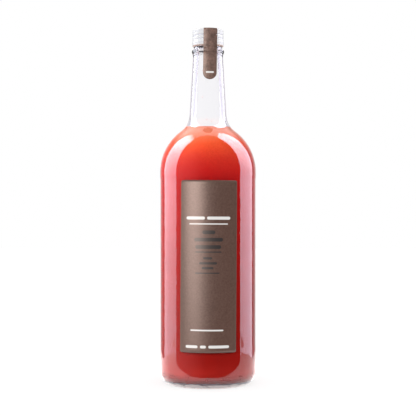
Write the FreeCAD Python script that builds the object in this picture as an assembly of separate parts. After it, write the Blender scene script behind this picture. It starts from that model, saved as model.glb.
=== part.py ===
import FreeCAD, Part
import math
import os

from FreeCAD import Vector

# Juice bottle of clear glass, full, with a rolled-on aluminium cap, a paper label and a paper seal strip.
# Millimetres. z = 0 is the ring that the bottle stands on, z is its axis, and -Y is the front.
# An outline is a list of corners (radius, height, rounding), read from the bottom up.

# Body of the bottle
BODY_D = 85.3             # across the two bumper bands
BODY_H = 187.6            # standing ring to the start of the shoulder
WALL = 3.4                # glass, on body, shoulder and neck
PANEL_DEPTH = 0.25        # how far the label panel lies behind the bumper bands
FOOT_BAND_Z = 21.3        # lower bumper band, from here
FOOT_BAND_H = 8.8         # and this high
SHOULDER_BAND_H = 6.0     # upper bumper band, up to the start of the shoulder
BAND_EASE = 1.2           # height over which a band runs into the panel
SHOULDER_R = 44.8         # arc of the shoulder
SHOULDER_HOLLOW_R = 23.4  # hollow arc from the shoulder into the neck

# Heel and base
HEEL_SLOPE = 52.0         # degrees from the floor, where the two heel arcs meet
HEEL_UPPER_R = 14.8       # arc that leaves the wall
HEEL_FOOT_R = 4.95        # arc that reaches the floor
RING_W = 1.6              # flat width of the standing ring
PUNT_H = 6.5              # rise of the underside in the middle
PUNT_FOOT = 4.0           # standing ring to the foot of that rise
FLOOR_Z = 5.4             # inside floor, at the foot of the wall
FLOOR_ROUND_R = 8.0       # inside corner of floor and wall
DOME_H = 7.0              # rise of the inside floor in the middle
DOME_FOOT = 3.0           # inside corner's rounding to the foot of that rise

# Neck and finish
NECK_L = 48.4             # shoulder's hollow arc to the waist under the transfer bead
NECK_TAPER = 3.6          # degrees
CAP_D = 27.9              # closure, outside
CAP_H = 15.4
CAP_T = 0.3               # aluminium
CAP_EDGE_R = 1.6
WAIST_STEP = 0.7          # the waist is this much under the cap's radius
BEAD_STEP = 0.45          # the transfer bead stands this much over the cap's radius
BEAD_H = 1.8
BEAD_RISE = 6.5           # waist to the middle of the bead
BEAD_HOLLOW_R = 8.0       # from the waist out to the bead
CAP_RISE = 10.7           # waist to the cap's rim
THREAD_ROOM = 1.2         # finish to the inside of the cap
LIP_WALL = 2.85           # glass at the mouth
LIP_ROUND_R = 1.0

# Tamper band of the cap, rolled in under the glass locking ring
ROLL_RISE = 2.9           # cap's rim to the middle of the rolled bead
ROLL_H = 1.2
ROLL_STEP = 0.25          # the rolled bead stands this much over the cap's radius
RIM_TUCK = 0.65           # how far the rim is turned in
RIM_GAP = 0.4             # turned-in rim to glass
LOCK_GAP = 0.15           # locking ring to band

# Juice
FILL_DROP = 12.2          # surface of the juice, below the foot of the neck

# Front label
LABEL_W = 47.9            # straight across, about 51 mm along the glass
LABEL_T = 0.12
LABEL_CORNER_R = 1.5
LABEL_FOOT_GAP = 0.3      # panel's lower end to the label
LABEL_HEAD_GAP = 1.1      # label to the panel's upper end
LABEL_SHIFT = 0.5         # to the right
LABEL_TILT = 0.4          # degrees clockwise

# Seal strip, up the front of the neck, over the cap and down the back
STRIP_W = 12.0
STRIP_T = 0.12
STRIP_REACH = 30.3        # cap's rim down to the round end on the front of the neck
STRIP_BACK_REACH = 20.0   # the same on its back
STRIP_SHIFT = 2.0         # to the right
STRIP_TILT = 0.9          # degrees clockwise
STRIP_DIP = 0.25          # how far the paper dips between bead and cap

body_r = BODY_D / 2
panel_r = body_r - PANEL_DEPTH
inside_r = body_r - WALL
panel_foot = FOOT_BAND_Z + FOOT_BAND_H + BAND_EASE
panel_head = BODY_H - SHOULDER_BAND_H - BAND_EASE
cap_r = CAP_D / 2
roll_r = cap_r + ROLL_STEP
waist_r = cap_r - WAIST_STEP
finish_r = cap_r - CAP_T - THREAD_ROOM
mouth_r = finish_r - LIP_WALL
taper = math.radians(NECK_TAPER)


def direction(a, b):
    """Unit vector from corner a to corner b."""
    length = math.dist(a[:2], b[:2])
    return (b[0] - a[0]) / length, (b[1] - a[1]) / length


def turn(before, after):
    """Signed angle from one direction to the next, positive to the left."""
    cross = before[0] * after[1] - before[1] * after[0]
    return math.atan2(cross, before[0] * after[0] + before[1] * after[1])


def shifted(corners, by):
    """The outline moved to its right side, which is outwards for one that runs up."""
    ways = [direction(a, b) for a, b in zip(corners, corners[1:])]
    moved = [(corners[0][0] + by * ways[0][1], corners[0][1] - by * ways[0][0], 0)]
    for (r, z, rounding), before, after in zip(corners[1:], ways, ways[1:]):
        angle = turn(before, after)
        reach = by / (1 + math.cos(angle))
        grown = rounding + math.copysign(by, angle) if rounding else 0
        moved.append((r + reach * (before[1] + after[1]), z - reach * (before[0] + after[0]), grown))
    moved.append((corners[-1][0] + by * ways[-1][1], corners[-1][1] - by * ways[-1][0], 0))
    return moved


def point(at):
    return Vector(at[0], 0, at[1])


def add_line(edges, a, b):
    if math.dist(a[:2], b[:2]) > 1e-4:
        edges.append(Part.LineSegment(point(a), point(b)).toShape())


def edges_along(corners):
    """Lines and tangent arcs along an outline."""
    edges = []
    at = corners[0]
    for before, corner, after in zip(corners, corners[1:], corners[2:]):
        r, z, rounding = corner
        way_in = direction(before, corner)
        way_out = direction(corner, after)
        half = turn(way_in, way_out) / 2
        trim = rounding * math.tan(abs(half))
        start = (r - trim * way_in[0], z - trim * way_in[1])
        add_line(edges, at, start)
        at = start
        if trim:
            end = (r + trim * way_out[0], z + trim * way_out[1])
            bulge = rounding * (1 / math.cos(half) - 1) / (2 * math.sin(abs(half)))
            middle = (r + bulge * (way_out[0] - way_in[0]), z + bulge * (way_out[1] - way_in[1]))
            edges.append(Part.Arc(point(start), point(middle), point(end)).toShape())
            at = end
    add_line(edges, at, corners[-1])
    return edges


def turned(*outlines):
    """The solid that the outlines, laid end to end, enclose when turned round the axis."""
    edges = []
    for outline, after in zip(outlines, outlines[1:] + outlines[:1]):
        edges += edges_along(outline)
        add_line(edges, outline[-1], after[0])
    face = Part.Face(Part.Wire(edges))
    return face.revolve(Vector(0, 0, 0), Vector(0, 0, 1), 360)


def window(low, high, radius):
    """Edges of a rounded rectangle of the XZ plane, between two opposite corners."""
    middle = ((low[0] + high[0]) / 2, low[1], 0)
    lower = [(high[0], low[1], radius), (high[0], high[1], radius)]
    upper = [(low[0], high[1], radius), (low[0], low[1], radius)]
    return edges_along([middle, *lower, *upper, middle])


def cutter(edges, pivot_z, tilt, depth):
    """The prism of a window tilted clockwise about the height pivot_z, from the axis to y = depth."""
    face = Part.Face(Part.Wire(edges))
    face.rotate(Vector(0, 0, pivot_z), Vector(0, 1, 0), tilt)
    return face.extrude(Vector(0, depth, 0))


def heel_corners():
    """From the floor into the lower wall, by two tangent arcs."""
    slope = math.radians(HEEL_SLOPE)
    foot_trim = HEEL_FOOT_R * math.tan(slope / 2)
    length = foot_trim + HEEL_UPPER_R * math.tan((math.pi / 2 - slope) / 2)
    foot_r = panel_r - length * math.cos(slope)
    return [
        (foot_r - foot_trim, 0, 0),
        (foot_r, 0, HEEL_FOOT_R),
        (panel_r, length * math.sin(slope), HEEL_UPPER_R),
    ]


def step_corners(r_from, r_to, z):
    """The soft step between a bumper band and the panel, upwards from z."""
    quarter = BAND_EASE / 4
    rounding = quarter * BAND_EASE / PANEL_DEPTH
    return [(r_from, z + quarter, rounding), (r_to, z + BAND_EASE - quarter, rounding)]


def neck_root():
    """Radius and height at which the shoulder's hollow arc becomes the neck."""
    r = waist_r + NECK_L * math.tan(taper)
    across = r + SHOULDER_HOLLOW_R * math.cos(taper) - (body_r - SHOULDER_R)
    rise = math.sqrt((SHOULDER_R + SHOULDER_HOLLOW_R) ** 2 - across**2)
    return r, BODY_H + rise - SHOULDER_HOLLOW_R * math.sin(taper)


root_r, root_z = neck_root()
waist_z = root_z + NECK_L
cap_z = waist_z + CAP_RISE
roll_z = cap_z + ROLL_RISE
cap_top = cap_z + CAP_H
lip_z = cap_top - CAP_T


def shoulder_corners():
    """The two corners whose roundings are the shoulder's arc and its hollow arc."""
    centre_r = root_r + SHOULDER_HOLLOW_R * math.cos(taper)
    centre_z = root_z + SHOULDER_HOLLOW_R * math.sin(taper)
    steepest = math.atan2(centre_z - BODY_H, centre_r - body_r + SHOULDER_R)
    lower = SHOULDER_R * math.tan(steepest / 2)
    upper = SHOULDER_HOLLOW_R * math.tan((steepest - taper) / 2)
    return [
        (body_r, BODY_H + lower, SHOULDER_R),
        (root_r + upper * math.sin(taper), root_z - upper * math.cos(taper), SHOULDER_HOLLOW_R),
    ]


def underside_corners():
    """The hollow underside, from its middle out to the standing ring."""
    ring_r = heel_corners()[0][0] - RING_W
    return [
        (0, PUNT_H, 0),
        (ring_r / 3, PUNT_H, ring_r),
        (ring_r - PUNT_FOOT, PUNT_H / 4, PUNT_FOOT),
        (ring_r, 0, 0),
    ]


def body_corners():
    """The outside of the glass, from the standing ring up to the neck."""
    return [
        *heel_corners(),
        *step_corners(panel_r, body_r, FOOT_BAND_Z - BAND_EASE),
        *step_corners(body_r, panel_r, panel_foot - BAND_EASE),
        *step_corners(panel_r, body_r, panel_head),
        *shoulder_corners(),
    ]


def bead_corners():
    """The neck's waist and the transfer bead that stands out above it."""
    bead_z = waist_z + BEAD_RISE
    bead_r = cap_r + BEAD_STEP
    return [
        (waist_r, waist_z + BEAD_RISE / 2, BEAD_HOLLOW_R),
        (bead_r, bead_z - BEAD_H / 2, BEAD_H / 2),
        (bead_r, bead_z + BEAD_H / 2, BEAD_H / 3),
    ]


def finish_corners():
    """The glass under the cap: groove, locking ring, a plain wall and the mouth."""
    groove_r = cap_r - RIM_TUCK - CAP_T - RIM_GAP
    lock_r = roll_r - CAP_T - LOCK_GAP
    round_r = ROLL_H / 3
    return [
        (groove_r, waist_z + BEAD_RISE + BEAD_H, round_r),
        (groove_r, roll_z - 1.5 * ROLL_H, round_r),
        (lock_r, roll_z - ROLL_H / 2, round_r),
        (lock_r, roll_z + ROLL_H / 2, round_r),
        (finish_r, roll_z + 1.5 * ROLL_H, round_r),
        (finish_r, lip_z, LIP_ROUND_R),
        (mouth_r, lip_z, LIP_ROUND_R),
        (mouth_r, waist_z, 5 * WALL),
    ]


def inside_corners():
    """The inside of the glass, from the middle of its floor up into the neck."""
    outside = [(body_r, BODY_H, 0), *shoulder_corners(), (waist_r, waist_z, 0)]
    dome_foot = inside_r - FLOOR_ROUND_R - DOME_FOOT
    return [
        (0, FLOOR_Z + DOME_H, 0),
        (dome_foot / 3, FLOOR_Z + DOME_H, dome_foot),
        (dome_foot, FLOOR_Z, DOME_FOOT),
        (inside_r, FLOOR_Z, FLOOR_ROUND_R),
        *shifted(outside, -WALL)[1:-1],
    ]


def bottle():
    outside = underside_corners() + body_corners() + bead_corners() + finish_corners()
    return turned(outside + inside_corners()[::-1])


def juice():
    """What fills the glass, up to the foot of the neck."""
    filled = turned([*inside_corners(), (mouth_r, waist_z, 0), (0, waist_z, 0)])
    return filled.common(Part.makeCylinder(BODY_D, root_z - FILL_DROP))


def roll_corners():
    """The bead rolled into the tamper band."""
    return [(roll_r, roll_z - ROLL_H / 2, ROLL_H / 2), (roll_r, roll_z + ROLL_H / 2, ROLL_H / 2)]


def crown_corners():
    """The cap above its tamper band, to the middle of its top."""
    return [
        (cap_r, roll_z + 1.5 * ROLL_H, ROLL_H / 2),
        (cap_r, cap_top, CAP_EDGE_R),
        (0, cap_top, 0),
    ]


def cap():
    """A thin cup with its rim turned in under the locking ring."""
    rim = [(cap_r - RIM_TUCK, cap_z, 0), (cap_r, cap_z + RIM_TUCK + CAP_T, CAP_T)]
    outside = rim + roll_corners() + crown_corners()
    return turned(outside, shifted(outside, -CAP_T)[::-1])


def label():
    """A sheet laid round the front of the panel."""
    foot = panel_foot + LABEL_FOOT_GAP
    head = panel_head - LABEL_HEAD_GAP
    sheet = Part.makeCylinder(panel_r + LABEL_T, BODY_H).cut(Part.makeCylinder(panel_r, BODY_H))
    edges = window(
        (LABEL_SHIFT - LABEL_W / 2, foot), (LABEL_SHIFT + LABEL_W / 2, head), LABEL_CORNER_R
    )
    return sheet.common(cutter(edges, (foot + head) / 2, LABEL_TILT, -BODY_D))


def strip_cutter(reach, depth):
    """The prism of the strip's outline, with its round end so far under the cap's rim."""
    half = STRIP_W / 2
    low = (STRIP_SHIFT - half, cap_z - reach)
    high = (STRIP_SHIFT + half, cap_top + CAP_H)
    return cutter(window(low, high, 0.99 * half), cap_z, STRIP_TILT, depth)


def seal_strip():
    """A band cut from a skin laid over neck, bead and cap."""
    dip = (cap_r - STRIP_DIP, cap_z - ROLL_H, ROLL_H)
    skin = [(root_r, root_z, 0), *bead_corners(), dip, *roll_corners(), *crown_corners()]
    paper = turned(skin, shifted(skin, STRIP_T)[::-1])
    front = paper.common(strip_cutter(STRIP_REACH, -BODY_D))
    back = paper.common(strip_cutter(STRIP_BACK_REACH, BODY_D))
    return front.fuse(back).removeSplitter()


def write(name, shape):
    """One solid, one file, named after its node."""
    (solid,) = shape.Solids
    solid.exportStep(f"parts/{name}.step")
    print(f"{name}: {solid.Volume / 1000:.3f} cm3, valid {solid.isValid()}")


os.makedirs("parts", exist_ok=True)
write("bottle", bottle())
write("juice", juice())
write("cap", cap())
write("label", label())
write("seal_strip", seal_strip())
print(f"height {cap_top + STRIP_T:.1f} mm, foot of the neck at {root_z:.1f} mm")
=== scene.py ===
import bpy
import bmesh
import math
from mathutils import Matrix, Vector, noise


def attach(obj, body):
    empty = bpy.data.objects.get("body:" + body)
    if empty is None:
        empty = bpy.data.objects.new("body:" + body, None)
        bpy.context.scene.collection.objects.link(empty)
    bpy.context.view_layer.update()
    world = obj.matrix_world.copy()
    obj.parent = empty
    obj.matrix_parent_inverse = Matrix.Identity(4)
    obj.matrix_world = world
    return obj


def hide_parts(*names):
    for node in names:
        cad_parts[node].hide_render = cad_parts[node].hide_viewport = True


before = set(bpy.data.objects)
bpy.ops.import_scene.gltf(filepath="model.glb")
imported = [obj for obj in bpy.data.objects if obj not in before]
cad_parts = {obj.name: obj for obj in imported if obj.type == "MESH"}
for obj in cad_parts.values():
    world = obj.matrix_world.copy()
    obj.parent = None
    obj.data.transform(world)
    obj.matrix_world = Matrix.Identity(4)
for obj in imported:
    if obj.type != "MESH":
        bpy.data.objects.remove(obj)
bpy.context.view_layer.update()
scene = bpy.context.scene
MM = 0.001


# ---- Bottle -------------------------------------------------------------------------------
# The bottle is one piece of clear blown glass with a hollow underside, two faint bumper bands
# and a bead under the closure. Its closed outline is turned round the axis, and its standing
# ring is stippled, as on any bottle that runs on a belt.

# corners of the outline: radius, height and rounding, in mm
UNDERSIDE = [(0, 6.5, 0), (11.254, 6.5, 33.762), (29.762, 1.625, 4.0), (33.762, 0, 0)]
HEEL = [(35.362, 0, 0), (37.776, 0, 4.95), (42.4, 5.918, 14.8)]
LOWER_BAND = [(42.65, 21.4, 60.0), (42.65, 28.4, 60.0), (42.4, 35.4, 60.0)]
UPPER_BAND = [(42.4, 181.4, 16.0), (42.65, 183.4, 16.0)]
SHOULDER = [(42.65, 209.548, 44.8), (16.959, 229.475, 19.0)]
NECK_FOOT = (16.295, 240.02, 0)     # a point of the neck's straight taper, not a corner
BEAD = [(13.25, 291.67, 8.0), (14.4, 294.02, 0.9), (14.4, 295.82, 0.6)]
FINISH = [
    (12.6, 296.72, 0.4),
    (12.6, 300.22, 0.4),
    (13.75, 301.42, 0.4),
    (13.75, 302.62, 0.4),
    (12.45, 303.82, 0.4),
    (12.45, 314.22, 1.0),
    (9.6, 314.22, 1.0),
]
BORE = [(9.6, 288.42, 17.0), (13.662, 227.73, 20.0), (39.25, 207.882, 48.2)]
INSIDE_FLOOR = [(39.25, 5.4, 8.0), (28.25, 5.4, 3.0), (9.417, 12.4, 28.25), (0, 12.4, 0)]
NEARLY_STRAIGHT = 3.1406    # radians: a corner this flat needs no rounding


def drawn(corners, longest=4.0):
    """Points (radius, height) along an outline of corners (radius, height, rounding), in mm."""
    marks = [corners[0][:2]]
    for before, corner, after in zip(corners, corners[1:], corners[2:]):
        here = Vector(corner[:2])
        back = (Vector(before[:2]) - here).normalized()
        on = (Vector(after[:2]) - here).normalized()
        opening = back.angle(on)
        rounding = corner[2]
        if rounding == 0 or opening > NEARLY_STRAIGHT:
            marks.append(here[:])
            continue
        trim = rounding / math.tan(opening / 2)
        middle = here + (back + on).normalized() * rounding / math.sin(opening / 2)
        start = here + back * trim - middle
        swing = start.angle_signed(here + on * trim - middle)
        degrees_each = 6 if rounding < 3 else 2.5
        count = max(3, round(math.degrees(abs(swing)) / degrees_each))
        for i in range(count + 1):
            turn = -swing * i / count
            marks.append((
                middle.x + start.x * math.cos(turn) - start.y * math.sin(turn),
                middle.y + start.x * math.sin(turn) + start.y * math.cos(turn),
            ))
    marks.append(corners[-1][:2])
    points = [marks[0]]
    for a, b in zip(marks, marks[1:]):
        length = math.dist(a, b)
        if length < 1e-4:
            continue
        parts = math.ceil(length / longest)
        for i in range(1, parts + 1):
            points.append((a[0] + (b[0] - a[0]) * i / parts, a[1] + (b[1] - a[1]) * i / parts))
    return points


def add(tree, kind, takes=None, **settings):
    """A new node. takes maps its inputs, by name or number, to values or to other nodes' outputs."""
    made = tree.nodes.new(kind)
    for setting, value in settings.items():
        setattr(made, setting, value)
    for key, value in (takes or {}).items():
        if isinstance(value, bpy.types.NodeSocket):
            tree.links.new(value, made.inputs[key])
        else:
            made.inputs[key].default_value = value
    return made


def calc(tree, operation, *values):
    """The result of a Math node."""
    return add(tree, "ShaderNodeMath", dict(enumerate(values)), operation=operation).outputs[0]


def ranged(tree, value, low, high, at_low=0.0, at_high=1.0):
    """Goes from at_low to at_high while a value goes from low to high, and stays level beyond."""
    return add(tree, "ShaderNodeMapRange", {
        "Value": value, "From Min": low, "From Max": high, "To Min": at_low, "To Max": at_high,
    }).outputs[0]


def mixed(tree, share, first, second):
    """Two colours mixed, with a share of the second. Each is three numbers or a node's output."""
    blend = add(tree, "ShaderNodeMix", {"Factor": share}, data_type="RGBA")
    for number, colour in ((6, first), (7, second)):
        if isinstance(colour, bpy.types.NodeSocket):
            tree.links.new(colour, blend.inputs[number])
        else:
            blend.inputs[number].default_value = (*colour, 1)
    return blend.outputs[2]


def cloudy(tree, where, scale, detail=2.0, roughness=0.5):
    """The value of a noise texture at a place."""
    takes = {"Vector": where, "Scale": scale, "Detail": detail, "Roughness": roughness}
    return add(tree, "ShaderNodeTexNoise", takes).outputs["Fac"]


def bumped(tree, height, strength, distance, over=None):
    """The normal of a surface with a bump, over another bump if one is given."""
    takes = {"Height": height, "Strength": strength, "Distance": distance}
    if over is not None:
        takes["Normal"] = over
    return add(tree, "ShaderNodeBump", takes).outputs[0]


def split(tree, where):
    """The X, Y and Z of a place."""
    return add(tree, "ShaderNodeSeparateXYZ", {0: where}).outputs


def joined(tree, x, y, z):
    """The place with this X, Y and Z."""
    return add(tree, "ShaderNodeCombineXYZ", {"X": x, "Y": y, "Z": z}).outputs[0]


def with_sockets(tree, takes, gives):
    """Gives a node group its named inputs and outputs, each of a kind. Returns what comes in."""
    for side, sockets in (("INPUT", takes), ("OUTPUT", gives)):
        for name, kind in sockets.items():
            tree.interface.new_socket(name, in_out=side, socket_type="NodeSocket" + kind)
    return add(tree, "NodeGroupInput").outputs


turning = bpy.data.node_groups.new("turned round the axis", "GeometryNodeTree")
given = with_sockets(turning, {
    "Outline": "Geometry", "Steps": "Int", "Sharp above": "Float", "Finish": "Material",
}, {"Piece": "Geometry"})
outline_size = add(turning, "GeometryNodeAttributeDomainSize", {"Geometry": given["Outline"]})
count = outline_size.outputs["Point Count"]
columns = calc(turning, "ADD", given["Steps"], 1.0)
grid = add(turning, "GeometryNodeMeshGrid", {"Vertices X": columns, "Vertices Y": count}).outputs["Mesh"]
index = add(turning, "GeometryNodeInputIndex").outputs[0]
column = calc(turning, "FLOOR", calc(turning, "DIVIDE", calc(turning, "ADD", index, 0.5), count))
row = calc(turning, "SUBTRACT", index, calc(turning, "MULTIPLY", column, count))
spot = add(turning, "GeometryNodeSampleIndex", {
    "Geometry": given["Outline"],
    "Value": add(turning, "GeometryNodeInputPosition").outputs[0],
    "Index": row,
}, data_type="FLOAT_VECTOR")
across = split(turning, spot.outputs["Value"])
angle = calc(turning, "MULTIPLY", calc(turning, "DIVIDE", column, given["Steps"]), math.tau)
east = calc(turning, "MULTIPLY", across["X"], calc(turning, "COSINE", angle))
north = calc(turning, "MULTIPLY", across["X"], calc(turning, "SINE", angle))
place = joined(turning, east, north, across["Z"])
swept = add(turning, "GeometryNodeSetPosition", {"Geometry": grid, "Position": place}).outputs[0]
closed = add(turning, "GeometryNodeMergeByDistance", {"Geometry": swept, "Distance": 2e-6}).outputs[0]
smooth = add(turning, "GeometryNodeSetShadeSmooth", {"Geometry": closed, "Shade Smooth": True}).outputs[0]
corner = add(turning, "GeometryNodeInputMeshEdgeAngle").outputs["Unsigned Angle"]
sharp = calc(turning, "GREATER_THAN", corner, given["Sharp above"])
creased = add(turning, "GeometryNodeSetShadeSmooth", {
    "Geometry": smooth, "Selection": sharp, "Shade Smooth": False,
}, domain="EDGE")
real = add(turning, "GeometryNodeRealizeInstances", {"Geometry": creased.outputs[0]}).outputs[0]
coated = add(turning, "GeometryNodeSetMaterial", {"Geometry": real, "Material": given["Finish"]})
add(turning, "NodeGroupOutput", {"Piece": coated.outputs[0]})


def plain_mesh(source, tree, values):
    """The mesh that a Geometry Nodes tree makes of an object. The object itself is removed."""
    modifier = source.modifiers.new(tree.name, "NODES")
    modifier.node_group = tree
    for item in tree.interface.items_tree:
        if item.in_out == "INPUT" and item.name in values:
            modifier[item.identifier] = values[item.name]
    graph = bpy.context.evaluated_depsgraph_get()
    graph.update()
    made = bpy.data.meshes.new_from_object(source.evaluated_get(graph), depsgraph=graph)
    bpy.data.objects.remove(source)
    return made


def placed(name, mesh):
    """An object of that name and mesh, in the scene."""
    piece = bpy.data.objects.new(name, mesh)
    scene.collection.objects.link(piece)
    return piece


def turned(name, points, finish, steps, sharp_above=0.7):
    """A solid of revolution from the points (radius, height) of its outline, in mm."""
    outline = bpy.data.meshes.new(name + "_outline")
    spots = [(r * MM, 0, z * MM) for r, z in points]
    outline.from_pydata(spots, [(i, i + 1) for i in range(len(spots) - 1)], [])
    values = {"Steps": steps, "Sharp above": sharp_above, "Finish": finish}
    mesh = plain_mesh(placed(name + "_outline", outline), turning, values)
    shell = bmesh.new()
    shell.from_mesh(mesh)
    bmesh.ops.recalc_face_normals(shell, faces=shell.faces)
    shell.to_mesh(mesh)
    shell.free()
    mesh.name = name
    return placed(name, mesh)


def finish_of(name):
    """A new material with its node tree, its Principled shader and the object's coordinates."""
    made = bpy.data.materials.new(name)
    made.use_nodes = True
    tree = made.node_tree
    shader = tree.nodes["Principled BSDF"]
    spot = add(tree, "ShaderNodeTexCoord").outputs["Object"]
    return made, tree, shader, spot


glass, tree, shader, spot = finish_of("clear_bottle_glass")
shader.inputs["Roughness"].default_value = 0.0
shader.inputs["IOR"].default_value = 1.47
shader.inputs["Transmission Weight"].default_value = 1.0
axes = split(tree, spot)
around = calc(tree, "ARCTAN2", axes["Y"], axes["X"])
waves = cloudy(tree, spot, 14.0, 0.0)
wavy = bumped(tree, waves, 0.05, 0.0004)
# short ribs round the standing ring
RIBS_ROUND = 64.0
ribs = calc(tree, "SINE", calc(tree, "MULTIPLY", around, RIBS_ROUND))
ring_only = ranged(tree, axes["Z"], 0.0010, 0.0022, 1.0, 0.0)
relief = calc(tree, "MULTIPLY", ribs, ring_only)
tree.links.new(bumped(tree, relief, 1.0, 0.0012, wavy), shader.inputs["Normal"])
# painted reflection: a fine tan line round the front of the bead stands in for the brown strip seen in
# its curve
BEAD_REFLECTION_AT = 0.2952       # m
off_line = calc(tree, "ABSOLUTE", calc(tree, "SUBTRACT", axes["Z"], BEAD_REFLECTION_AT))
bead_reflection_line = ranged(tree, off_line, 0.00025, 0.0005, 1.0, 0.0)
towards_ends = ranged(tree, calc(tree, "ABSOLUTE", axes["X"]), 0.009, 0.0135, 0.35)
in_front = ranged(tree, axes["Y"], -0.004, 0.002, 1.0, 0.0)
reflection_share = calc(tree, "MULTIPLY", calc(tree, "MULTIPLY", bead_reflection_line, in_front), towards_ends)
clear = mixed(tree, reflection_share, (0.985, 0.982, 0.992), (0.42, 0.26, 0.20))
# painted shade: seen at a grazing angle, the glass of the neck is tinted a darker lavender, in place of
# the dark surroundings that its edges show
facing = add(tree, "ShaderNodeLayerWeight", {"Blend": 0.5}).outputs["Facing"]
edge_shade = ranged(tree, facing, 0.50, 0.70)
of_neck = ranged(tree, axes["Z"], 0.222, 0.234)
edged = mixed(tree, calc(tree, "MULTIPLY", edge_shade, of_neck), clear, (0.56, 0.48, 0.63))
tree.links.new(edged, shader.inputs["Base Color"])

body = UNDERSIDE + HEEL + LOWER_BAND + UPPER_BAND + SHOULDER
outside = drawn(body + BEAD + FINISH + BORE + INSIDE_FLOOR)
bottle = turned("clear_bottle", outside, glass, steps=224)

# the standing ring is stippled, so it looks grey and broken where the rest is clear
RING_LOW = 2.4      # height of its top edge at the sides, mm
RING_SWELL = 2.7    # how much higher that edge is at the front and the back, mm
RING_INNER = 35.0   # the ring begins beyond this radius, mm
ring_glass, tree, shader, spot = finish_of("stippled_ring_glass")
shader.inputs["IOR"].default_value = 1.47
shader.inputs["Transmission Weight"].default_value = 0.1
axes = split(tree, spot)
around = calc(tree, "ARCTAN2", axes["Y"], axes["X"])
STRETCH_ROUND = 3.2     # the blotches are long round the ring
STRETCH_UP = 420.0      # and flat, for each metre up
east = calc(tree, "MULTIPLY", calc(tree, "COSINE", around), STRETCH_ROUND)
north = calc(tree, "MULTIPLY", calc(tree, "SINE", around), STRETCH_ROUND)
stretched = joined(tree, east, north, calc(tree, "MULTIPLY", axes["Z"], STRETCH_UP))
blotches = cloudy(tree, stretched, 1.6, 3.0, 0.6)
# painted shade: its top edge is darkened into a line that sinks towards the sides, in place of the dark
# surroundings seen through the glass there; below the line the ring is paler
swell = calc(tree, "MULTIPLY", calc(tree, "ABSOLUTE", calc(tree, "SINE", around)), RING_SWELL * MM)
edge_height = calc(tree, "ADD", swell, RING_LOW * MM)
below_edge = calc(tree, "SUBTRACT", edge_height, axes["Z"])
level = ranged(tree, below_edge, 0.0004, 0.0021, -0.22, 0.15)
paleness = ranged(tree, calc(tree, "ADD", blotches, level), 0.40, 0.60)
stipple_and_edge_shade = mixed(tree, paleness, (0.075, 0.040, 0.055), (0.46, 0.40, 0.40))
# where it touches the table, reddish dashes run round it
DASHES_ROUND = 76.0
DASH_HEIGHT = 0.0007    # m
beat = calc(tree, "SINE", calc(tree, "MULTIPLY", around, DASHES_ROUND))
lowest = calc(tree, "LESS_THAN", axes["Z"], DASH_HEIGHT)
dashes = calc(tree, "MULTIPLY", calc(tree, "GREATER_THAN", beat, 0.0), lowest)
dashed = mixed(tree, dashes, stipple_and_edge_shade, (0.62, 0.26, 0.22))
tree.links.new(dashed, shader.inputs["Base Color"])
tree.links.new(ranged(tree, blotches, 0.0, 1.0, 0.15, 0.45), shader.inputs["Roughness"])
tree.links.new(bumped(tree, blotches, 0.5, 0.0004), shader.inputs["Normal"])
bottle.data.materials.append(ring_glass)
for face in bottle.data.polygons:
    middle = face.center / MM
    radius = math.hypot(middle.x, middle.y)
    if radius > RING_INNER and middle.z < RING_LOW + RING_SWELL * abs(middle.y) / radius:
        face.material_index = len(bottle.data.materials) - 1
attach(bottle, "root")
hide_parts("bottle")


# ---- Heel dots ----------------------------------------------------------------------------
# Small dots moulded with the bottle stand on its heel in two rows, in groups. Each gathers the
# colour of the juice behind it, so they are made as dark red beads sunk into the glass.

DOT_RADIUS = 0.75           # mm
DOT_ROWS = (7.9, 10.2)      # heights of the two rows, mm
DOTS_ROUND = 96             # places for dots in a row
DOTS_SUNK = 0.48            # how far the middle of a dot lies inside the glass, mm
GROUPS_ROUND = 16.0         # groups of dots round the bottle
GROUP_SHIFT = 1.906         # where the groups begin, radians
UNEVENNESS = 0.75           # how much wider some groups are than others
UNEVEN_ROUND = 5.0          # how often wide and narrow take turns round the bottle
UNEVEN_SHIFT = 5.995        # where that begins, radians
GAP_BELOW = 0.35            # dots are left out where the two together stay below this


def reach_at(height):
    """The radius of the bottle's outside at a height on its heel, in mm."""
    widest = 0.0
    for (low_r, low_z), (high_r, high_z) in zip(outside, outside[1:]):
        if low_z <= height < high_z:
            here = low_r + (high_r - low_r) * (height - low_z) / (high_z - low_z)
            widest = max(widest, here)
    return widest


rows = bpy.data.node_groups.new("rows of dots", "GeometryNodeTree")
given = with_sockets(rows, {
    "Start": "Geometry", "Places": "Int", "Low height": "Float", "High height": "Float",
    "Low reach": "Float", "High reach": "Float", "Radius": "Float", "Finish": "Material",
}, {"Dots": "Geometry"})
grid = add(rows, "GeometryNodeMeshGrid", {
    "Size X": 1.0, "Size Y": 1.0, "Vertices X": given["Places"], "Vertices Y": 2,
}).outputs["Mesh"]
across = split(rows, add(rows, "GeometryNodeInputPosition").outputs[0])
upper = calc(rows, "ADD", across["Y"], 0.5)
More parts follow.
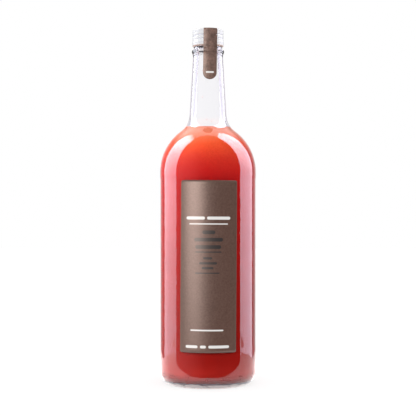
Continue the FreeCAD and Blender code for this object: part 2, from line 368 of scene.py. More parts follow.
# the dots of the upper row stand between those of the lower one
half_a_place = calc(rows, "MULTIPLY", upper, math.pi / DOTS_ROUND)
angle = calc(rows, "ADD", calc(rows, "MULTIPLY", across["X"], math.tau), half_a_place)
rise = calc(rows, "SUBTRACT", given["High height"], given["Low height"])
height = calc(rows, "ADD", given["Low height"], calc(rows, "MULTIPLY", rise, upper))
swell = calc(rows, "SUBTRACT", given["High reach"], given["Low reach"])
reach = calc(rows, "ADD", given["Low reach"], calc(rows, "MULTIPLY", swell, upper))
east = calc(rows, "MULTIPLY", calc(rows, "COSINE", angle), reach)
north = calc(rows, "MULTIPLY", calc(rows, "SINE", angle), reach)
place = joined(rows, east, north, height)
phase = calc(rows, "ADD", calc(rows, "MULTIPLY", angle, GROUPS_ROUND), GROUP_SHIFT)
uneven_phase = calc(rows, "ADD", calc(rows, "MULTIPLY", angle, UNEVEN_ROUND), UNEVEN_SHIFT)
width = calc(rows, "MULTIPLY", calc(rows, "COSINE", uneven_phase), UNEVENNESS)
beat = calc(rows, "ADD", calc(rows, "SINE", phase), width)
between = calc(rows, "LESS_THAN", beat, GAP_BELOW)
kept = add(rows, "GeometryNodeDeleteGeometry", {"Geometry": grid, "Selection": between}).outputs[0]
laid_out = add(rows, "GeometryNodeSetPosition", {"Geometry": kept, "Position": place}).outputs[0]


def round_specks(tree, points, radius, finish, **more):
    """Little smooth balls on points, each one real geometry with its material."""
    ball = add(tree, "GeometryNodeMeshIcoSphere", {"Radius": radius, "Subdivisions": 2}).outputs[0]
    takes = {"Points": points, "Instance": ball, **more}
    dropped = add(tree, "GeometryNodeInstanceOnPoints", takes).outputs[0]
    loose = add(tree, "GeometryNodeRealizeInstances", {"Geometry": dropped}).outputs[0]
    takes = {"Geometry": loose, "Shade Smooth": True}
    rounded = add(tree, "GeometryNodeSetShadeSmooth", takes).outputs[0]
    takes = {"Geometry": rounded, "Material": finish}
    return add(tree, "GeometryNodeSetMaterial", takes).outputs[0]


dots = round_specks(rows, laid_out, given["Radius"], given["Finish"])
add(rows, "NodeGroupOutput", {"Dots": dots})

dot_finish, tree, shader, spot = finish_of("moulded_dot_glass")
patchy = cloudy(tree, spot, 900.0)
reds = mixed(tree, patchy, (0.180, 0.018, 0.018), (0.340, 0.045, 0.042))
tree.links.new(reds, shader.inputs["Base Color"])
shader.inputs["Roughness"].default_value = 0.5
shader.inputs["Specular IOR Level"].default_value = 0.2

bottom, upmost = DOT_ROWS
values = {
    "Places": DOTS_ROUND, "Radius": DOT_RADIUS * MM, "Finish": dot_finish,
    "Low height": bottom * MM, "High height": upmost * MM,
    "Low reach": (reach_at(bottom) - DOTS_SUNK) * MM,
    "High reach": (reach_at(upmost) - DOTS_SUNK) * MM,
}
dots_start = placed("dots_start", bpy.data.meshes.new("dots_start"))
heel_dots = placed("moulded_heel_dots", plain_mesh(dots_start, rows, values))
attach(heel_dots, "root")
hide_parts("bottle")


# ---- Juice --------------------------------------------------------------------------------
# The bottle is filled with thick red tomato juice up to the foot of its neck. The juice wets
# the glass, so its skin lies just inside the wall and climbs a little at the edge of the
# surface. Its colour changes with height as painted light and shade: paler and more orange
# near the surface, where light gets in from above, and set level by level below that.

LEVEL = 225.9       # height of its surface, mm
WETTING = 0.15      # how far the juice reaches into the wall, so that no air shows between, mm
CREEP = 0.25        # how high it climbs at the wall, mm
CREEP_REACH = 1.1   # how fast that sinks away from the wall, mm
TOP_OF_TINT = 0.23  # where the last of its colours is reached, m


def pushed(points, by):
    """The points of an outline moved square to it, to its left for a positive distance."""
    moved = []
    for i, (r, z) in enumerate(points):
        a = Vector(points[max(i - 1, 0)])
        b = Vector(points[min(i + 1, len(points) - 1)])
        way = (b - a).normalized()
        moved.append((max(r - by * way.y, 0.0) if r > 0.01 else 0.0, z + by * way.x))
    return moved


juice_finish, tree, shader, spot = finish_of("tomato_juice")
shader.inputs["Roughness"].default_value = 0.35
shader.inputs["Specular IOR Level"].default_value = 0.0
height = split(tree, spot)["Z"]
clouds = cloudy(tree, spot, 45.0, 3.0)
pulp = cloudy(tree, spot, 900.0, 4.0)
drift = calc(tree, "MULTIPLY", calc(tree, "SUBTRACT", clouds, 0.5), 0.012)
depth = ranged(tree, calc(tree, "ADD", height, drift), 0.0, TOP_OF_TINT)
tint = add(tree, "ShaderNodeValToRGB", {"Fac": depth})
# painted light and shade: each height gets the colour that the light falling there gives the juice
stops = [
    (0.00, (0.470, 0.026, 0.020)),
    (0.05, (0.440, 0.020, 0.014)),
    (0.10, (0.320, 0.009, 0.006)),
    (0.30, (0.330, 0.009, 0.006)),
    (0.60, (0.420, 0.010, 0.009)),
    (0.78, (0.480, 0.009, 0.011)),
    (0.84, (0.510, 0.021, 0.014)),
    (0.88, (0.590, 0.044, 0.021)),
    (0.92, (0.680, 0.080, 0.022)),
    (0.94, (0.660, 0.130, 0.052)),
    (0.96, (0.640, 0.185, 0.105)),
]
ramp = tint.color_ramp
ramp.interpolation = "B_SPLINE"
for position, colour in stops:
    stop = ramp.elements.new(position) if position > 0 else ramp.elements[0]
    stop.color = (*colour, 1)
ramp.elements.remove(ramp.elements[-1])     # the white stop that a new ramp ends with
flecks = ranged(tree, pulp, 0.35, 0.75, 0.93, 1.1)


def dimmed(tree, colour, by):
    """A colour made brighter or darker by a factor."""
    return add(tree, "ShaderNodeVectorMath", {0: colour, "Scale": by}, operation="SCALE").outputs[0]


tree.links.new(dimmed(tree, tint.outputs["Color"], flecks), shader.inputs["Base Color"])
tree.links.new(bumped(tree, pulp, 0.3, 0.0002), shader.inputs["Normal"])

wall = pushed(drawn([(9.6, 314.22, 0)] + BORE + INSIDE_FLOOR), WETTING)
skin = [(r, z) for r, z in wall if z < LEVEL + CREEP][::-1]
edge = skin[-1][0] - WETTING
skin.append((edge + WETTING, LEVEL + CREEP))
for reach in (0.0, 0.4, 0.9, 1.5, 2.3, 3.4, 5.0):
    skin.append((edge - reach, LEVEL + CREEP * math.exp(-reach / CREEP_REACH)))
skin += [(edge * part, LEVEL) for part in (0.7, 0.35, 0.0)]
juice = turned("tomato_juice", skin, juice_finish, steps=192)
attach(juice, "root")
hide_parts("juice")


# ---- Specks -------------------------------------------------------------------------------
# A few tiny splashes of juice have dried on the inside of the neck. They are thin round specks,
# scattered over the wall of the bore.

SPECK_SIZE = (0.18, 0.42)   # smallest and largest radius, mm
SPECK_FLAT = 0.4            # thickness against width
SPECK_DENSITY = 3200.0      # in a square metre of wall
SPECK_SEED = 5

scatter = bpy.data.node_groups.new("scattered specks", "GeometryNodeTree")
given = with_sockets(scatter, {
    "Wall": "Geometry", "Density": "Float", "Seed": "Int", "Smallest": "Float", "Largest": "Float",
    "Finish": "Material",
}, {"Specks": "Geometry"})
spread = add(scatter, "GeometryNodeDistributePointsOnFaces", {
    "Mesh": given["Wall"], "Density": given["Density"], "Seed": given["Seed"],
})
# the random value's inputs 2 and 3 are the lowest and the highest number, its output 1 the number
size = add(scatter, "FunctionNodeRandomValue", {
    2: given["Smallest"], 3: given["Largest"], "Seed": given["Seed"],
}).outputs[1]
flat = joined(scatter, size, size, calc(scatter, "MULTIPLY", size, SPECK_FLAT))
splashes = round_specks(scatter, spread.outputs["Points"], 1.0, given["Finish"],
                        Rotation=spread.outputs["Rotation"], Scale=flat)
add(scatter, "NodeGroupOutput", {"Specks": splashes})

speck_finish, tree, shader, spot = finish_of("dried_juice")
patchy = cloudy(tree, spot, 2000.0)
dried = mixed(tree, patchy, (0.95, 0.48, 0.42), (0.90, 0.30, 0.24))
tree.links.new(dried, shader.inputs["Base Color"])
shader.inputs["Roughness"].default_value = 0.4

bore = [(r - 0.03, z) for r, z in drawn([(9.7, 286.0, 0), (13.4, 230.5, 0)])]
wall_of_neck = turned("bore_wall", bore, speck_finish, steps=48)
values = {
    "Density": SPECK_DENSITY, "Seed": SPECK_SEED, "Finish": speck_finish,
    "Smallest": SPECK_SIZE[0] * MM, "Largest": SPECK_SIZE[1] * MM,
}
specks = placed("dried_juice_specks", plain_mesh(wall_of_neck, scatter, values))
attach(specks, "root")
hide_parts("juice")


# ---- Cap ----------------------------------------------------------------------------------
# The closure is a thin aluminium cap, white outside and gold inside, rolled on over the glass
# thread. The rollers leave the thread as shallow grooves, and tuck the rim of the tamper band
# in under the glass, where its gold inner lacquer shows. The grooves, the knurls and a crease
# on the band get painted shade.

# corners of its outside: radius, height and rounding, in mm
CAP_SHELL = [
    (12.72, 298.92, 0),
    (13.9, 299.82, 0.4),
    (14.2, 301.42, 0.6),
    (14.2, 302.62, 0.6),
    (13.95, 303.82, 0.6),
    (13.95, 314.52, 1.6),
    (0, 314.52, 0),
]
CAP_TOP = 314.52        # the sizes of the cap are in mm
FLAT_WITHIN = 12.2      # within this radius its top needs only a few points
SHEET = 0.3             # thickness of the aluminium
THREAD_PITCH = 3.4
THREAD_DEPTH = 0.45
THREAD_WIDTH = 0.60     # half width of a groove
THREAD_LOW = 304.8
THREAD_HIGH = 310.4
KNURLS = 72             # ridges round its upper edge
KNURL_DEPTH = 0.07
KNURL_LOW = 311.0
KNURL_HIGH = 313.0
SKIRT_RADIUS = 12.9     # the rollers press thread and knurl into points beyond this radius
SKIRT_LOW = 303.4       # and above this height
BAND_RADIUS = 13.6      # points of the tamper band lie beyond this radius
BAND_CREASE_SHADE_AT = 302.0         # height of the painted shade in the crease of the band
GOLD_RIM = 0.30015      # the rim shows gold below this height, m
GOLD_RADIUS = 0.01325   # the inside shows gold within this radius, m
GOLD_TOP = 0.31436      # and below this height, m


def eased(past, over):
    """Rises from 0 to 1 over a length."""
    return min(1.0, max(0.0, past / over))


def rolled_in(angle, z):
    """How far the rollers press the cap in, in mm, at an angle and height."""
    lead = THREAD_LOW + THREAD_PITCH * ((angle - math.pi) / math.tau)
    turns = (z - lead) / THREAD_PITCH
    off = (turns - round(turns)) * THREAD_PITCH
    groove = z - off
    ends = eased(groove - THREAD_LOW + 0.2, 0.8) * eased(THREAD_HIGH - groove, 0.8)
    thread = THREAD_DEPTH * ends * math.exp(-((off / THREAD_WIDTH) ** 2))
    band = eased(z - KNURL_LOW, 0.3) * eased(KNURL_HIGH - z, 0.3)
    return thread, KNURL_DEPTH * band * (1 + math.cos(KNURLS * angle))


lacquer, tree, shader, spot = finish_of("cap_lacquer")
shader.inputs["Specular IOR Level"].default_value = 0.15
axes = split(tree, spot)
flat = joined(tree, axes["X"], axes["Y"], 0.0)
radius = add(tree, "ShaderNodeVectorMath", {0: flat}, operation="LENGTH").outputs["Value"]
rim = calc(tree, "LESS_THAN", axes["Z"], GOLD_RIM)
below_top = calc(tree, "LESS_THAN", axes["Z"], GOLD_TOP)
within = calc(tree, "MULTIPLY", calc(tree, "LESS_THAN", radius, GOLD_RADIUS), below_top)
gold = calc(tree, "MAXIMUM", rim, within)
speckle = cloudy(tree, spot, 1500.0, 3.0)
whites = mixed(tree, speckle, (0.755, 0.755, 0.77), (0.80, 0.80, 0.81))
golds = mixed(tree, speckle, (0.56, 0.41, 0.35), (0.66, 0.51, 0.46))
# painted shade: grooves, knurls and the band's crease are darkened to lavender grey by each point's
# number
groove_shade = add(tree, "ShaderNodeAttribute", attribute_name="groove_shade").outputs["Fac"]
creased = mixed(tree, groove_shade, whites, (0.52, 0.51, 0.60))
paint = mixed(tree, gold, creased, golds)
tree.links.new(paint, shader.inputs["Base Color"])
tree.links.new(ranged(tree, speckle, 0.0, 1.0, 0.22, 0.34), shader.inputs["Roughness"])
tree.links.new(bumped(tree, speckle, 0.15, 0.00005), shader.inputs["Normal"])

outer = drawn(CAP_SHELL, longest=0.3)
shell_points = [p for p in outer if p[0] > FLAT_WITHIN] + [(r, CAP_TOP) for r in (9, 5, 0)]
lining_points = pushed(shell_points, SHEET)[::-1]
whole_outline = shell_points + lining_points + shell_points[:1]
cap = turned("rolled_on_cap", whole_outline, lacquer, steps=432)
# the rollers press their marks in, and a number on each point gives the painted shade of their grooves
# and knurls and of the crease in the tamper band
groove_shade = cap.data.attributes.new("groove_shade", "FLOAT", "POINT")
for vertex, mark in zip(cap.data.vertices, groove_shade.data):
    x, y, z = (value / MM for value in vertex.co)
    r = math.hypot(x, y)
    if r > SKIRT_RADIUS and z > SKIRT_LOW:
        thread, knurl = rolled_in(math.atan2(y, x) % math.tau, z)
        mark.value = min(1.0, thread / THREAD_DEPTH) ** 2 * 0.75 + knurl * 2.0
        near = (r - thread - knurl) / r
        vertex.co.x *= near
        vertex.co.y *= near
    elif r > BAND_RADIUS:
        mark.value = 0.45 * math.exp(-(((z - BAND_CREASE_SHADE_AT) / 0.35) ** 2))
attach(cap, "root")
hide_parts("cap")


# ---- Label --------------------------------------------------------------------------------
# One upright label of taupe paper with a satin face is glued round the front of the panel. Its
# print is a plain scheme of white and dark bars, and its cut edge shows grey.

LABEL_R = 42.4                      # radius of the panel that it lies on, mm
LABEL_MIDDLE = (0.5, 105.45)        # across and up, mm
LABEL_HALF = (23.95, 73.85)         # half its width and half its height, mm
LABEL_CORNER = 1.5                  # mm
LABEL_TURN = math.radians(0.4)      # it leans by this
LABEL_GRID = (80, 60)               # faces across and up
CUT_EDGE = 0.2                      # how wide the grey of its cut edge shows, mm
PAPER = 0.12                        # thickness, mm

grain = bpy.data.node_groups.new("satin paper", "ShaderNodeTree")
taken = with_sockets(grain, {
    "Vector": "Vector", "Light": "Color", "Dark": "Color",
}, {"Color": "Color", "Roughness": "Float", "Height": "Float"})
fibres = cloudy(grain, taken["Vector"], 700.0, 3.0)
flakes = cloudy(grain, taken["Vector"], 2600.0, 2.0)
mottle = calc(grain, "ADD", calc(grain, "MULTIPLY", fibres, 0.55), calc(grain, "MULTIPLY", flakes, 0.45))
spread = ranged(grain, mottle, 0.36, 0.66)
toned = mixed(grain, spread, taken["Dark"], taken["Light"])
rough = ranged(grain, flakes, 0.3, 0.7, 0.36, 0.5)
add(grain, "NodeGroupOutput", {"Color": toned, "Roughness": rough, "Height": mottle})

bar = bpy.data.node_groups.new("printed bar", "ShaderNodeTree")
taken = with_sockets(bar, {
    "Across": "Float", "Up": "Float", "From": "Float", "To": "Float", "Middle": "Float",
    "Half height": "Float",
}, {"Mask": "Float"})
middle = calc(bar, "MULTIPLY", calc(bar, "ADD", taken["From"], taken["To"]), 0.5)
half_length = calc(bar, "MULTIPLY", calc(bar, "SUBTRACT", taken["To"], taken["From"]), 0.5)
reach = calc(bar, "SUBTRACT", half_length, taken["Half height"])
aside = calc(bar, "ABSOLUTE", calc(bar, "SUBTRACT", taken["Across"], middle))
beyond = calc(bar, "MAXIMUM", calc(bar, "SUBTRACT", aside, reach), 0.0)
above = calc(bar, "SUBTRACT", taken["Up"], taken["Middle"])
squares = calc(bar, "ADD", calc(bar, "MULTIPLY", beyond, beyond), calc(bar, "MULTIPLY", above, above))
away = calc(bar, "SQRT", squares)
inked = ranged(bar, calc(bar, "SUBTRACT", away, taken["Half height"]), -0.08, 0.08, 1.0, 0.0)
add(bar, "NodeGroupOutput", {"Mask": inked})

# each bar goes from one place across to another; then come its middle's height and half its own
WHITE_BARS = [
    (-19.2, -3.4, 146.9, 1.3), (-1.6, 18.3, 146.9, 1.3), (-16.7, 16.3, 141.9, 0.5),
    (-15.2, 13.0, 51.0, 0.65), (-19.2, -9.0, 36.9, 1.2), (-7.0, -1.8, 36.9, 1.2),
    (0.2, 18.0, 36.9, 1.2),
]
DARK_BARS = [
    (-5.6, 5.6, 134.8, 1.6), (-12.4, 12.2, 128.5, 1.6), (-11.5, 10.6, 122.2, 1.6),
    (-11.5, 11.0, 117.9, 0.5), (-4.7, 3.0, 112.6, 1.0), (-8.1, 7.2, 108.3, 1.0),
    (-5.9, 4.2, 104.2, 1.0), (-11.5, 9.4, 99.9, 0.5),
]

label_finish, tree, shader, spot = finish_of("label_paper")
turn_back = add(tree, "ShaderNodeVectorRotate", {
    "Vector": spot, "Center": (0, 0, LABEL_MIDDLE[1] * MM), "Axis": (0, 1, 0), "Angle": -LABEL_TURN,
}).outputs[0]
axes = split(tree, turn_back)
across = calc(tree, "SUBTRACT", calc(tree, "MULTIPLY", axes["X"], 1000.0), LABEL_MIDDLE[0])
up = calc(tree, "MULTIPLY", axes["Z"], 1000.0)


def bar_mask(tree, across, up, place):
    """The mask of one printed bar from its place, in mm."""
    start, end, middle, half = place
    return add(tree, "ShaderNodeGroup", {
        "Across": across, "Up": up, "From": start, "To": end, "Middle": middle, "Half height": half,
    }, node_tree=bar).outputs["Mask"]


def printed(bars):
    """The mask of a list of printed bars on the label."""
    mask = 0.0
    for place in bars:
        mask = calc(tree, "MAXIMUM", bar_mask(tree, across, up, place), mask)
    return mask


def satin_of(tree, spot, light, dark):
    """The satin paper's colour, roughness and height, between a light and a dark colour."""
    takes = {"Vector": spot, "Light": (*light, 1), "Dark": (*dark, 1)}
    return add(tree, "ShaderNodeGroup", takes, node_tree=grain).outputs


satin = satin_of(tree, spot, (0.150, 0.073, 0.053), (0.092, 0.040, 0.026))
dark_print = mixed(tree, printed(DARK_BARS), satin["Color"], (0.030, 0.024, 0.024))
white_print = mixed(tree, printed(WHITE_BARS), dark_print, (0.80, 0.78, 0.76))
side = calc(tree, "SUBTRACT", calc(tree, "ABSOLUTE", across), LABEL_HALF[0] - CUT_EDGE)
off_middle = calc(tree, "ABSOLUTE", calc(tree, "SUBTRACT", up, LABEL_MIDDLE[1]))
ends = calc(tree, "SUBTRACT", off_middle, LABEL_HALF[1] - CUT_EDGE)
cut = calc(tree, "GREATER_THAN", calc(tree, "MAXIMUM", side, ends), 0.0)
edged = mixed(tree, calc(tree, "MULTIPLY", cut, 0.6), white_print, (0.17, 0.15, 0.13))
tree.links.new(edged, shader.inputs["Base Color"])
tree.links.new(satin["Roughness"], shader.inputs["Roughness"])
tree.links.new(bumped(tree, satin["Height"], 0.35, 0.00006), shader.inputs["Normal"])


def sheet(name, columns, rows, where, finish, thickness):
    """A closed sheet on a grid. where(i, j) is a grid point on its underside, in mm."""
    form = bmesh.new()
    spots = []
    for i in range(columns + 1):
        spots.append([form.verts.new(Vector(where(i, j)) * MM) for j in range(rows + 1)])
    for i in range(columns):
        for j in range(rows):
            form.faces.new((spots[i][j], spots[i + 1][j], spots[i + 1][j + 1], spots[i][j + 1]))
    bmesh.ops.remove_doubles(form, verts=form.verts, dist=1e-6)
    for face in form.faces:
        face.smooth = True
    mesh = bpy.data.meshes.new(name)
    form.to_mesh(mesh)
    form.free()
    piece = placed(name, mesh)
    wall = piece.modifiers.new("paper", "SOLIDIFY")
    wall.thickness = thickness * MM
    wall.offset = 1
    graph = bpy.context.evaluated_depsgraph_get()
    graph.update()
    piece.data = bpy.data.meshes.new_from_object(piece.evaluated_get(graph), depsgraph=graph)
    piece.modifiers.clear()
    piece.data.name = name
    piece.data.materials.clear()
    piece.data.materials.append(finish)
    return piece


def on_panel(i, j):
    """A grid point of the label, laid on the panel of the bottle."""
    columns, rows = LABEL_GRID
    x = LABEL_HALF[0] * math.sin(math.radians(-90 + 180 * i / columns))
    inset = max(0.0, abs(x) - LABEL_HALF[0] + LABEL_CORNER)
    half = LABEL_HALF[1] - LABEL_CORNER + math.sqrt(max(0.0, LABEL_CORNER**2 - inset**2))
    z = half * (2 * j / rows - 1)
    across = LABEL_MIDDLE[0] + x * math.cos(LABEL_TURN) + z * math.sin(LABEL_TURN)
    level = LABEL_MIDDLE[1] + z * math.cos(LABEL_TURN) - x * math.sin(LABEL_TURN)
    return across, -math.sqrt(LABEL_R**2 - across**2), level


label = sheet("front_label", *LABEL_GRID, on_panel, label_finish, PAPER)
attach(label, "root")
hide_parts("label")


# ---- Seal strip ---------------------------------------------------------------------------
# A strip of the same taupe paper seals the closure: it is glued up the front of the neck, over
# the cap and down the back, and it creases where it crosses the rim of the cap.

STRIP_HALF = 6.0                    # half its width, mm
STRIP_SHIFT = 2.0                   # how far right of the middle it lies, mm
STRIP_TURN = math.radians(0.9)      # it leans by this
STRIP_TURNED_AT = 299.12            # round a point of this height, mm
STRIP_END = 268.82                  # height of its end in front, mm
STRIP_BACK_END = 279.12             # and at the back
STRIP_SKIN = [NECK_FOOT, *BEAD, (13.7, 297.92, 1.2), *CAP_SHELL[2:]]
STRIP_MARK = (-2.0, 5.2, 275.2, 0.8)    # its one printed bar, given like the label's
STRIP_COLUMNS = 36                  # faces across it
ROUND_ROWS = 16                     # rows of faces in a round end
OVER_TOP = 14                       # rows over the flat top
FOLD_RADIUS = 12.36                 # the rows up the cap's side stop at this radius, mm
FLAT_RADIUS = 12.35                 # and those over its flat top start at this one
CREASED_AT = 298.0                  # it creases most at this height, mm
CREASED_OVER = 3.6                  # and less and less over this distance, mm
ON_TOP = 0.3138                     # above this height it lies on the flat top, m

strip_finish, tree, shader, spot = finish_of("strip_paper")
shader.inputs["Specular IOR Level"].default_value = 0.3
satin = satin_of(tree, spot, (0.222, 0.132, 0.105), (0.130, 0.070, 0.052))
# the strip is lighter and darker in random blotches
blots = cloudy(tree, spot, 260.0, 2.0)
blotching = ranged(tree, blots, 0.35, 0.65, 0.72, 1.22)
blotched = dimmed(tree, satin["Color"], blotching)
axes = split(tree, spot)
at_front = calc(tree, "LESS_THAN", axes["Y"], 0.0)
across = calc(tree, "MULTIPLY", axes["X"], 1000.0)
up = calc(tree, "MULTIPLY", axes["Z"], 1000.0)
mark = calc(tree, "MULTIPLY", bar_mask(tree, across, up, STRIP_MARK), at_front)
marked = mixed(tree, mark, blotched, (0.78, 0.76, 0.74))
tree.links.new(marked, shader.inputs["Base Color"])
tree.links.new(satin["Roughness"], shader.inputs["Roughness"])
tree.links.new(bumped(tree, satin["Height"], 0.4, 0.00006), shader.inputs["Normal"])

# the part of the way over bottle and cap that front and back share
above_ends = STRIP_BACK_END + STRIP_HALF + 0.3
path = [(r, z) for r, z in drawn(STRIP_SKIN, longest=1.5) if z > above_ends and r > FOLD_RADIUS]


def creases(x, z):
    """How far the paper stands off in its creases, in mm."""
    near_rim = math.exp(-(((z - CREASED_AT) / CREASED_OVER) ** 2))
    ridge = noise.noise(Vector((x * 0.35, z * 0.55 + 7.0, 3.0)))
    dimple = noise.noise(Vector((x * 0.22, z * 0.16, 9.0)))
    return 0.05 + 0.42 * near_rim * max(0.0, ridge + 0.3) + 0.10 * max(0.0, dimple)


def cone(z):
    """Radius of the neck at a height."""
    foot_r, foot_z = NECK_FOOT[:2]
    top_r, top_z = BEAD[0][:2]
    return foot_r + (top_r - foot_r) * (z - foot_z) / (top_z - foot_z)


def on_skin(i, j):
    """A grid point of the strip, from its end in front over the top to its end at the back."""
    x = STRIP_HALF * math.sin(math.radians(-90 + 180 * i / STRIP_COLUMNS))
    rows = ROUND_ROWS + len(path)
    back = j > rows + OVER_TOP / 2
    k = 2 * rows + OVER_TOP - j if back else j
    side = 1 if back else -1
    if k < ROUND_ROWS:
        low = (STRIP_BACK_END if back else STRIP_END) + STRIP_HALF - math.sqrt(STRIP_HALF**2 - x**2)
        z = low + (STRIP_BACK_END + STRIP_HALF - low) * k / ROUND_ROWS
        r = cone(z)
    elif k < rows:
        r, z = path[k - ROUND_ROWS]
    else:
        r, z = FLAT_RADIUS, CAP_TOP
    across = STRIP_SHIFT + x + (z - STRIP_TURNED_AT) * math.sin(STRIP_TURN)
    r += creases(across, z) if z < 313 else 0
    y = side * math.sqrt(r**2 - across**2)
    if k >= rows:
        to_edge = abs((j - rows - OVER_TOP / 2) / (OVER_TOP / 2))
        y = side * math.sqrt(FLAT_RADIUS**2 - across**2) * to_edge
        z += 0.02
    return across, y, z


strip_rows = 2 * (ROUND_ROWS + len(path)) + OVER_TOP
strip = sheet("seal_strip_paper", STRIP_COLUMNS, strip_rows, on_skin, strip_finish, PAPER)

# the glued side of the strip is bare tan paper
back_finish, tree, shader, spot = finish_of("strip_paper_back")
shader.inputs["Roughness"].default_value = 0.8
satin = satin_of(tree, spot, (0.66, 0.47, 0.40), (0.50, 0.33, 0.27))
tree.links.new(satin["Color"], shader.inputs["Base Color"])
strip.data.materials.append(back_finish)
for face in strip.data.polygons:
    outward = Vector((face.center.x, face.center.y, 0 if face.center.z < ON_TOP else 0.02))
    if face.normal.dot(outward) < 0:
        face.material_index = len(strip.data.materials) - 1
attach(strip, "root")
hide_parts("seal_strip")


# ---- Floor --------------------------------------------------------------------------------
# The bottle stands on a plain white table in a white studio.

floor_mesh = bpy.data.meshes.new("floor")
floor_mesh.from_pydata([(-3, -3, 0), (3, -3, 0), (3, 3, 0), (-3, 3, 0)], [], [(0, 1, 2, 3)])
floor = placed("floor", floor_mesh)
floor_finish, tree, shader, spot = finish_of("white_table")
shader.inputs["Base Color"].default_value = (0.30, 0.30, 0.30, 1)
shader.inputs["Roughness"].default_value = 1.0
shader.inputs["Specular IOR Level"].default_value = 0.0
shader.inputs["Emission Color"].default_value = (1, 1, 1, 1)
path_of = add(tree, "ShaderNodeLightPath").outputs
seen = calc(tree, "MAXIMUM", path_of["Is Camera Ray"], path_of["Is Transmission Ray"])
first = calc(tree, "LESS_THAN", path_of["Diffuse Depth"], 0.5)
at_once = calc(tree, "MULTIPLY", first, seen)
spot_on_table = add(tree, "ShaderNodeVectorMath", {0: spot}, operation="LENGTH").outputs["Value"]
# painted shadow: the table's glow falls to a tenth under the foot of the bottle
beyond_painted_shadow = ranged(tree, spot_on_table, 0.033, 0.038, 0.1)
bright = calc(tree, "ADD", calc(tree, "MULTIPLY", at_once, 0.12), 0.62)
lit = calc(tree, "MULTIPLY", bright, beyond_painted_shadow)
tree.links.new(lit, shader.inputs["Emission Strength"])
# in gloss the table is a lit patch under the bottle, and is clear beyond that patch's edges
axes = split(tree, spot)
front_edge = ranged(tree, calc(tree, "ABSOLUTE", axes["X"]), 0.08, 0.15, -0.083, -0.058)
ahead = ranged(tree, calc(tree, "SUBTRACT", axes["Y"], front_edge), 0.0, 0.008)
nearer = calc(tree, "MAXIMUM", calc(tree, "SUBTRACT", 0.10, axes["Y"]), 0.0)
half_width = calc(tree, "ADD", 0.145, calc(tree, "MULTIPLY", nearer, 1.7))
over = calc(tree, "SUBTRACT", calc(tree, "ABSOLUTE", axes["X"]), half_width)
beside = ranged(tree, over, 0.0, 0.01, 1.0, 0.0)
patch = calc(tree, "MULTIPLY", ahead, beside)
dimmer = ranged(tree, axes["Y"], 0.08, 0.26, 1.0, 0.35)
from_left = calc(tree, "SUBTRACT", 2.5, calc(tree, "MULTIPLY", axes["X"], 3.0))
shine = calc(tree, "MULTIPLY", dimmer, from_left)
glow = add(tree, "ShaderNodeEmission", {"Strength": shine})
gone = add(tree, "ShaderNodeBsdfTransparent")
lit_patch = add(tree, "ShaderNodeMixShader", {0: patch, 1: gone.outputs[0], 2: glow.outputs[0]})
in_gloss = calc(tree, "MULTIPLY", path_of["Is Glossy Ray"], first)
both = add(tree, "ShaderNodeMixShader", {0: in_gloss, 1: shader.outputs[0], 2: lit_patch.outputs[0]})
tree.links.new(both.outputs[0], tree.nodes["Material Output"].inputs["Surface"])
floor_mesh.materials.append(floor_finish)


# ---- Light --------------------------------------------------------------------------------
# A white studio: plain soft light from both sides and above, two tall soft boxes that show in
# the gloss of the glass and the cap, and a soft front light for the papers alone.

world = bpy.data.worlds.new("studio")
world.use_nodes = True
scene.world = world
tree = world.node_tree
toward = add(tree, "ShaderNodeTexCoord").outputs["Generated"]
axes = split(tree, toward)
path_of = add(tree, "ShaderNodeLightPath").outputs
left = calc(tree, "MAXIMUM", calc(tree, "MULTIPLY", axes["X"], -1.0), 0.0)
right = calc(tree, "MAXIMUM", axes["X"], 0.0)
top = calc(tree, "MAXIMUM", axes["Z"], 0.0)


def soft(from_left, from_right, from_top, around):
    """Soft light from the sides and above, and some from all round."""
    strength = calc(tree, "MULTIPLY", left, from_left)
    strength = calc(tree, "ADD", strength, calc(tree, "MULTIPLY", right, from_right))
    strength = calc(tree, "ADD", strength, calc(tree, "MULTIPLY", top, from_top))
    return calc(tree, "ADD", strength, around)


# plain surfaces are lit from all round, the juice and the specks from beside and above
on_surfaces = soft(0.5, 0.3, 0.3, 0.75)
in_the_glass = soft(7.6, 3.0, 0.9, 0.0)
# what the glass reflects and lets through: the backdrop, the ceiling and a veil on the left
backdrop = ranged(tree, axes["Y"], 0.82, 0.90)
veil = calc(tree, "MULTIPLY", calc(tree, "POWER", left, 1.5), 0.7)
back_half = ranged(tree, axes["Y"], -0.04, 0.04)
ceiling = calc(tree, "MULTIPLY", back_half, ranged(tree, axes["Z"], 0.45, 0.7))
behind = ranged(tree, axes["Y"], 0.6, 0.9, 0.0, 0.75)
steep = ranged(tree, calc(tree, "ABSOLUTE", axes["Z"]), 0.2, 0.5, 0.6, 0.9)
through = calc(tree, "MAXIMUM", calc(tree, "MULTIPLY", backdrop, 1.02), steep)
inside = calc(tree, "GREATER_THAN", path_of["Transmission Depth"], 0.5)
above = calc(tree, "ADD", calc(tree, "MULTIPLY", ceiling, 2.2), calc(tree, "ADD", veil, 0.04))
room = calc(tree, "MAXIMUM", behind, above)
first = calc(tree, "LESS_THAN", path_of["Diffuse Depth"], 0.5)


def either(share, first_value, second_value):
    """Two numbers mixed, with a share of the second. The mix node's inputs 2 and 3 take them."""
    takes = {"Factor": share, 2: first_value, 3: second_value}
    return add(tree, "ShaderNodeMix", takes).outputs[0]


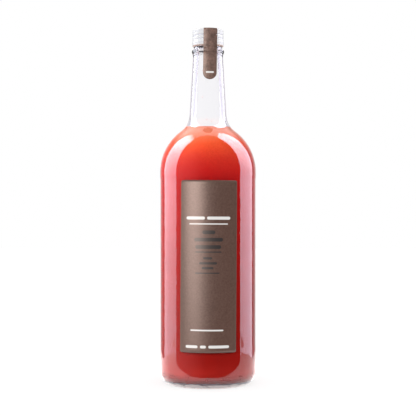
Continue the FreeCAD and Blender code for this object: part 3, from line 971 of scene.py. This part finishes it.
gloss = either(inside, room, through)
strength = either(path_of["Is Transmission Ray"], on_surfaces, in_the_glass)
sights = (("Is Glossy Ray", gloss), ("Is Transmission Ray", through), ("Is Camera Ray", 1.0))
for ray, seen in sights:
    strength = either(calc(tree, "MULTIPLY", path_of[ray], first), strength, seen)
tree.links.new(strength, tree.nodes["Background"].inputs["Strength"])
off_backdrop = calc(tree, "SUBTRACT", 1.0, backdrop)
beside = calc(tree, "MULTIPLY", calc(tree, "MULTIPLY", inside, first), off_backdrop)
tinted = mixed(tree, beside, (1, 1, 1), (0.95, 0.90, 1.0))
tree.links.new(tinted, tree.nodes["Background"].inputs["Color"])

glossy = bpy.data.collections.new("glossy")
for piece in (bottle, cap):
    glossy.objects.link(piece)


def soft_box(name, side, along, low, high, tint, levels):
    """A tall soft box beside the bottle, seen in gloss alone. levels are (height, brightness)."""
    lamp = bpy.data.lights.new(name, "AREA")
    lamp.shape = "RECTANGLE"
    lamp.size = along[1] - along[0]
    lamp.size_y = high - low
    lamp.use_nodes = True
    tree = lamp.node_tree
    spot = split(tree, add(tree, "ShaderNodeNewGeometry").outputs["Position"])
    share = ranged(tree, spot["Z"], low, high)
    curve = add(tree, "ShaderNodeValToRGB", {"Fac": share})
    stops = curve.color_ramp.elements
    top = max(level for _, level in levels)
    for height, level in levels:
        place = (height - low) / (high - low)
        stop = stops.new(place) if place > 0 else stops[0]
        stop.color = (level / top, level / top, level / top, 1)
    stops.remove(stops[-1])     # the white stop that a new ramp ends with
    fade = ranged(tree, spot["Y"], along[0], along[1], 1.05, 0.72)
    level = calc(tree, "MULTIPLY", calc(tree, "MULTIPLY", curve.outputs["Color"], fade), top)
    emission = tree.nodes["Emission"]
    tree.links.new(level, emission.inputs["Strength"])
    emission.inputs["Color"].default_value = (*tint, 1)
    lamp.energy = lamp.size * lamp.size_y * math.pi
    box = bpy.data.objects.new(name, lamp)
    box.location = (side, (along[0] + along[1]) / 2, (low + high) / 2)
    box.rotation_euler = (math.radians(90), 0, math.copysign(math.radians(90), side))
    box.visible_camera = False
    box.visible_diffuse = False
    box.visible_transmission = False
    box.light_linking.receiver_collection = glossy
    scene.collection.objects.link(box)


left_levels = [
    (-0.4, 3.4), (0.06, 4.3), (0.2, 6.0), (0.5, 8.2), (0.75, 11.0), (0.95, 13.5), (1.2, 15.0),
    (1.6, 14.0), (1.95, 9.0), (2.25, 1.0),
]
right_levels = [
    (-0.4, 3.6), (0.1, 5.0), (0.23, 5.8), (0.5, 7.4), (0.75, 8.6), (1.0, 9.8), (1.35, 12.0),
    (1.8, 13.2), (2.3, 12.5), (2.7, 10.5), (3.3, 5.0),
]
soft_box("left_soft_box", -0.9, (-0.155, 0.70), -0.4, 2.3, (0.86, 0.90, 1.02), left_levels)
soft_box("right_soft_box", 0.9, (-0.13, 0.80), -0.4, 3.3, (0.95, 0.94, 1.10), right_levels)

# a soft front light from the left for the satin papers alone
papers = bpy.data.collections.new("papers")
for piece in (label, strip):
    papers.objects.link(piece)
lamp = bpy.data.lights.new("paper_light", "AREA")
lamp.shape = "RECTANGLE"
lamp.size = 0.50
lamp.size_y = 0.8
lamp.energy = 19.0
lamp.color = (1.0, 0.82, 0.73)
paper_light = bpy.data.objects.new("paper_light", lamp)
paper_light.location = (-0.40, -0.63, 0.42)
paper_light.rotation_euler = (math.radians(90), 0, -math.atan2(0.40, 0.63))
paper_light.visible_camera = False
paper_light.visible_diffuse = False
paper_light.light_linking.receiver_collection = papers
scene.collection.objects.link(paper_light)


# ---- Camera -------------------------------------------------------------------------------
# Level with the middle of the bottle, straight in front.

lens = bpy.data.cameras.new("camera")
lens.lens = 89.135
lens.sensor_width = 36.0
camera = bpy.data.objects.new("camera", lens)
camera.location = (0, -0.9206, 0.1555)
camera.rotation_euler = (math.radians(90), 0, 0)
scene.collection.objects.link(camera)
scene.camera = camera
scene.view_settings.view_transform = "Standard"
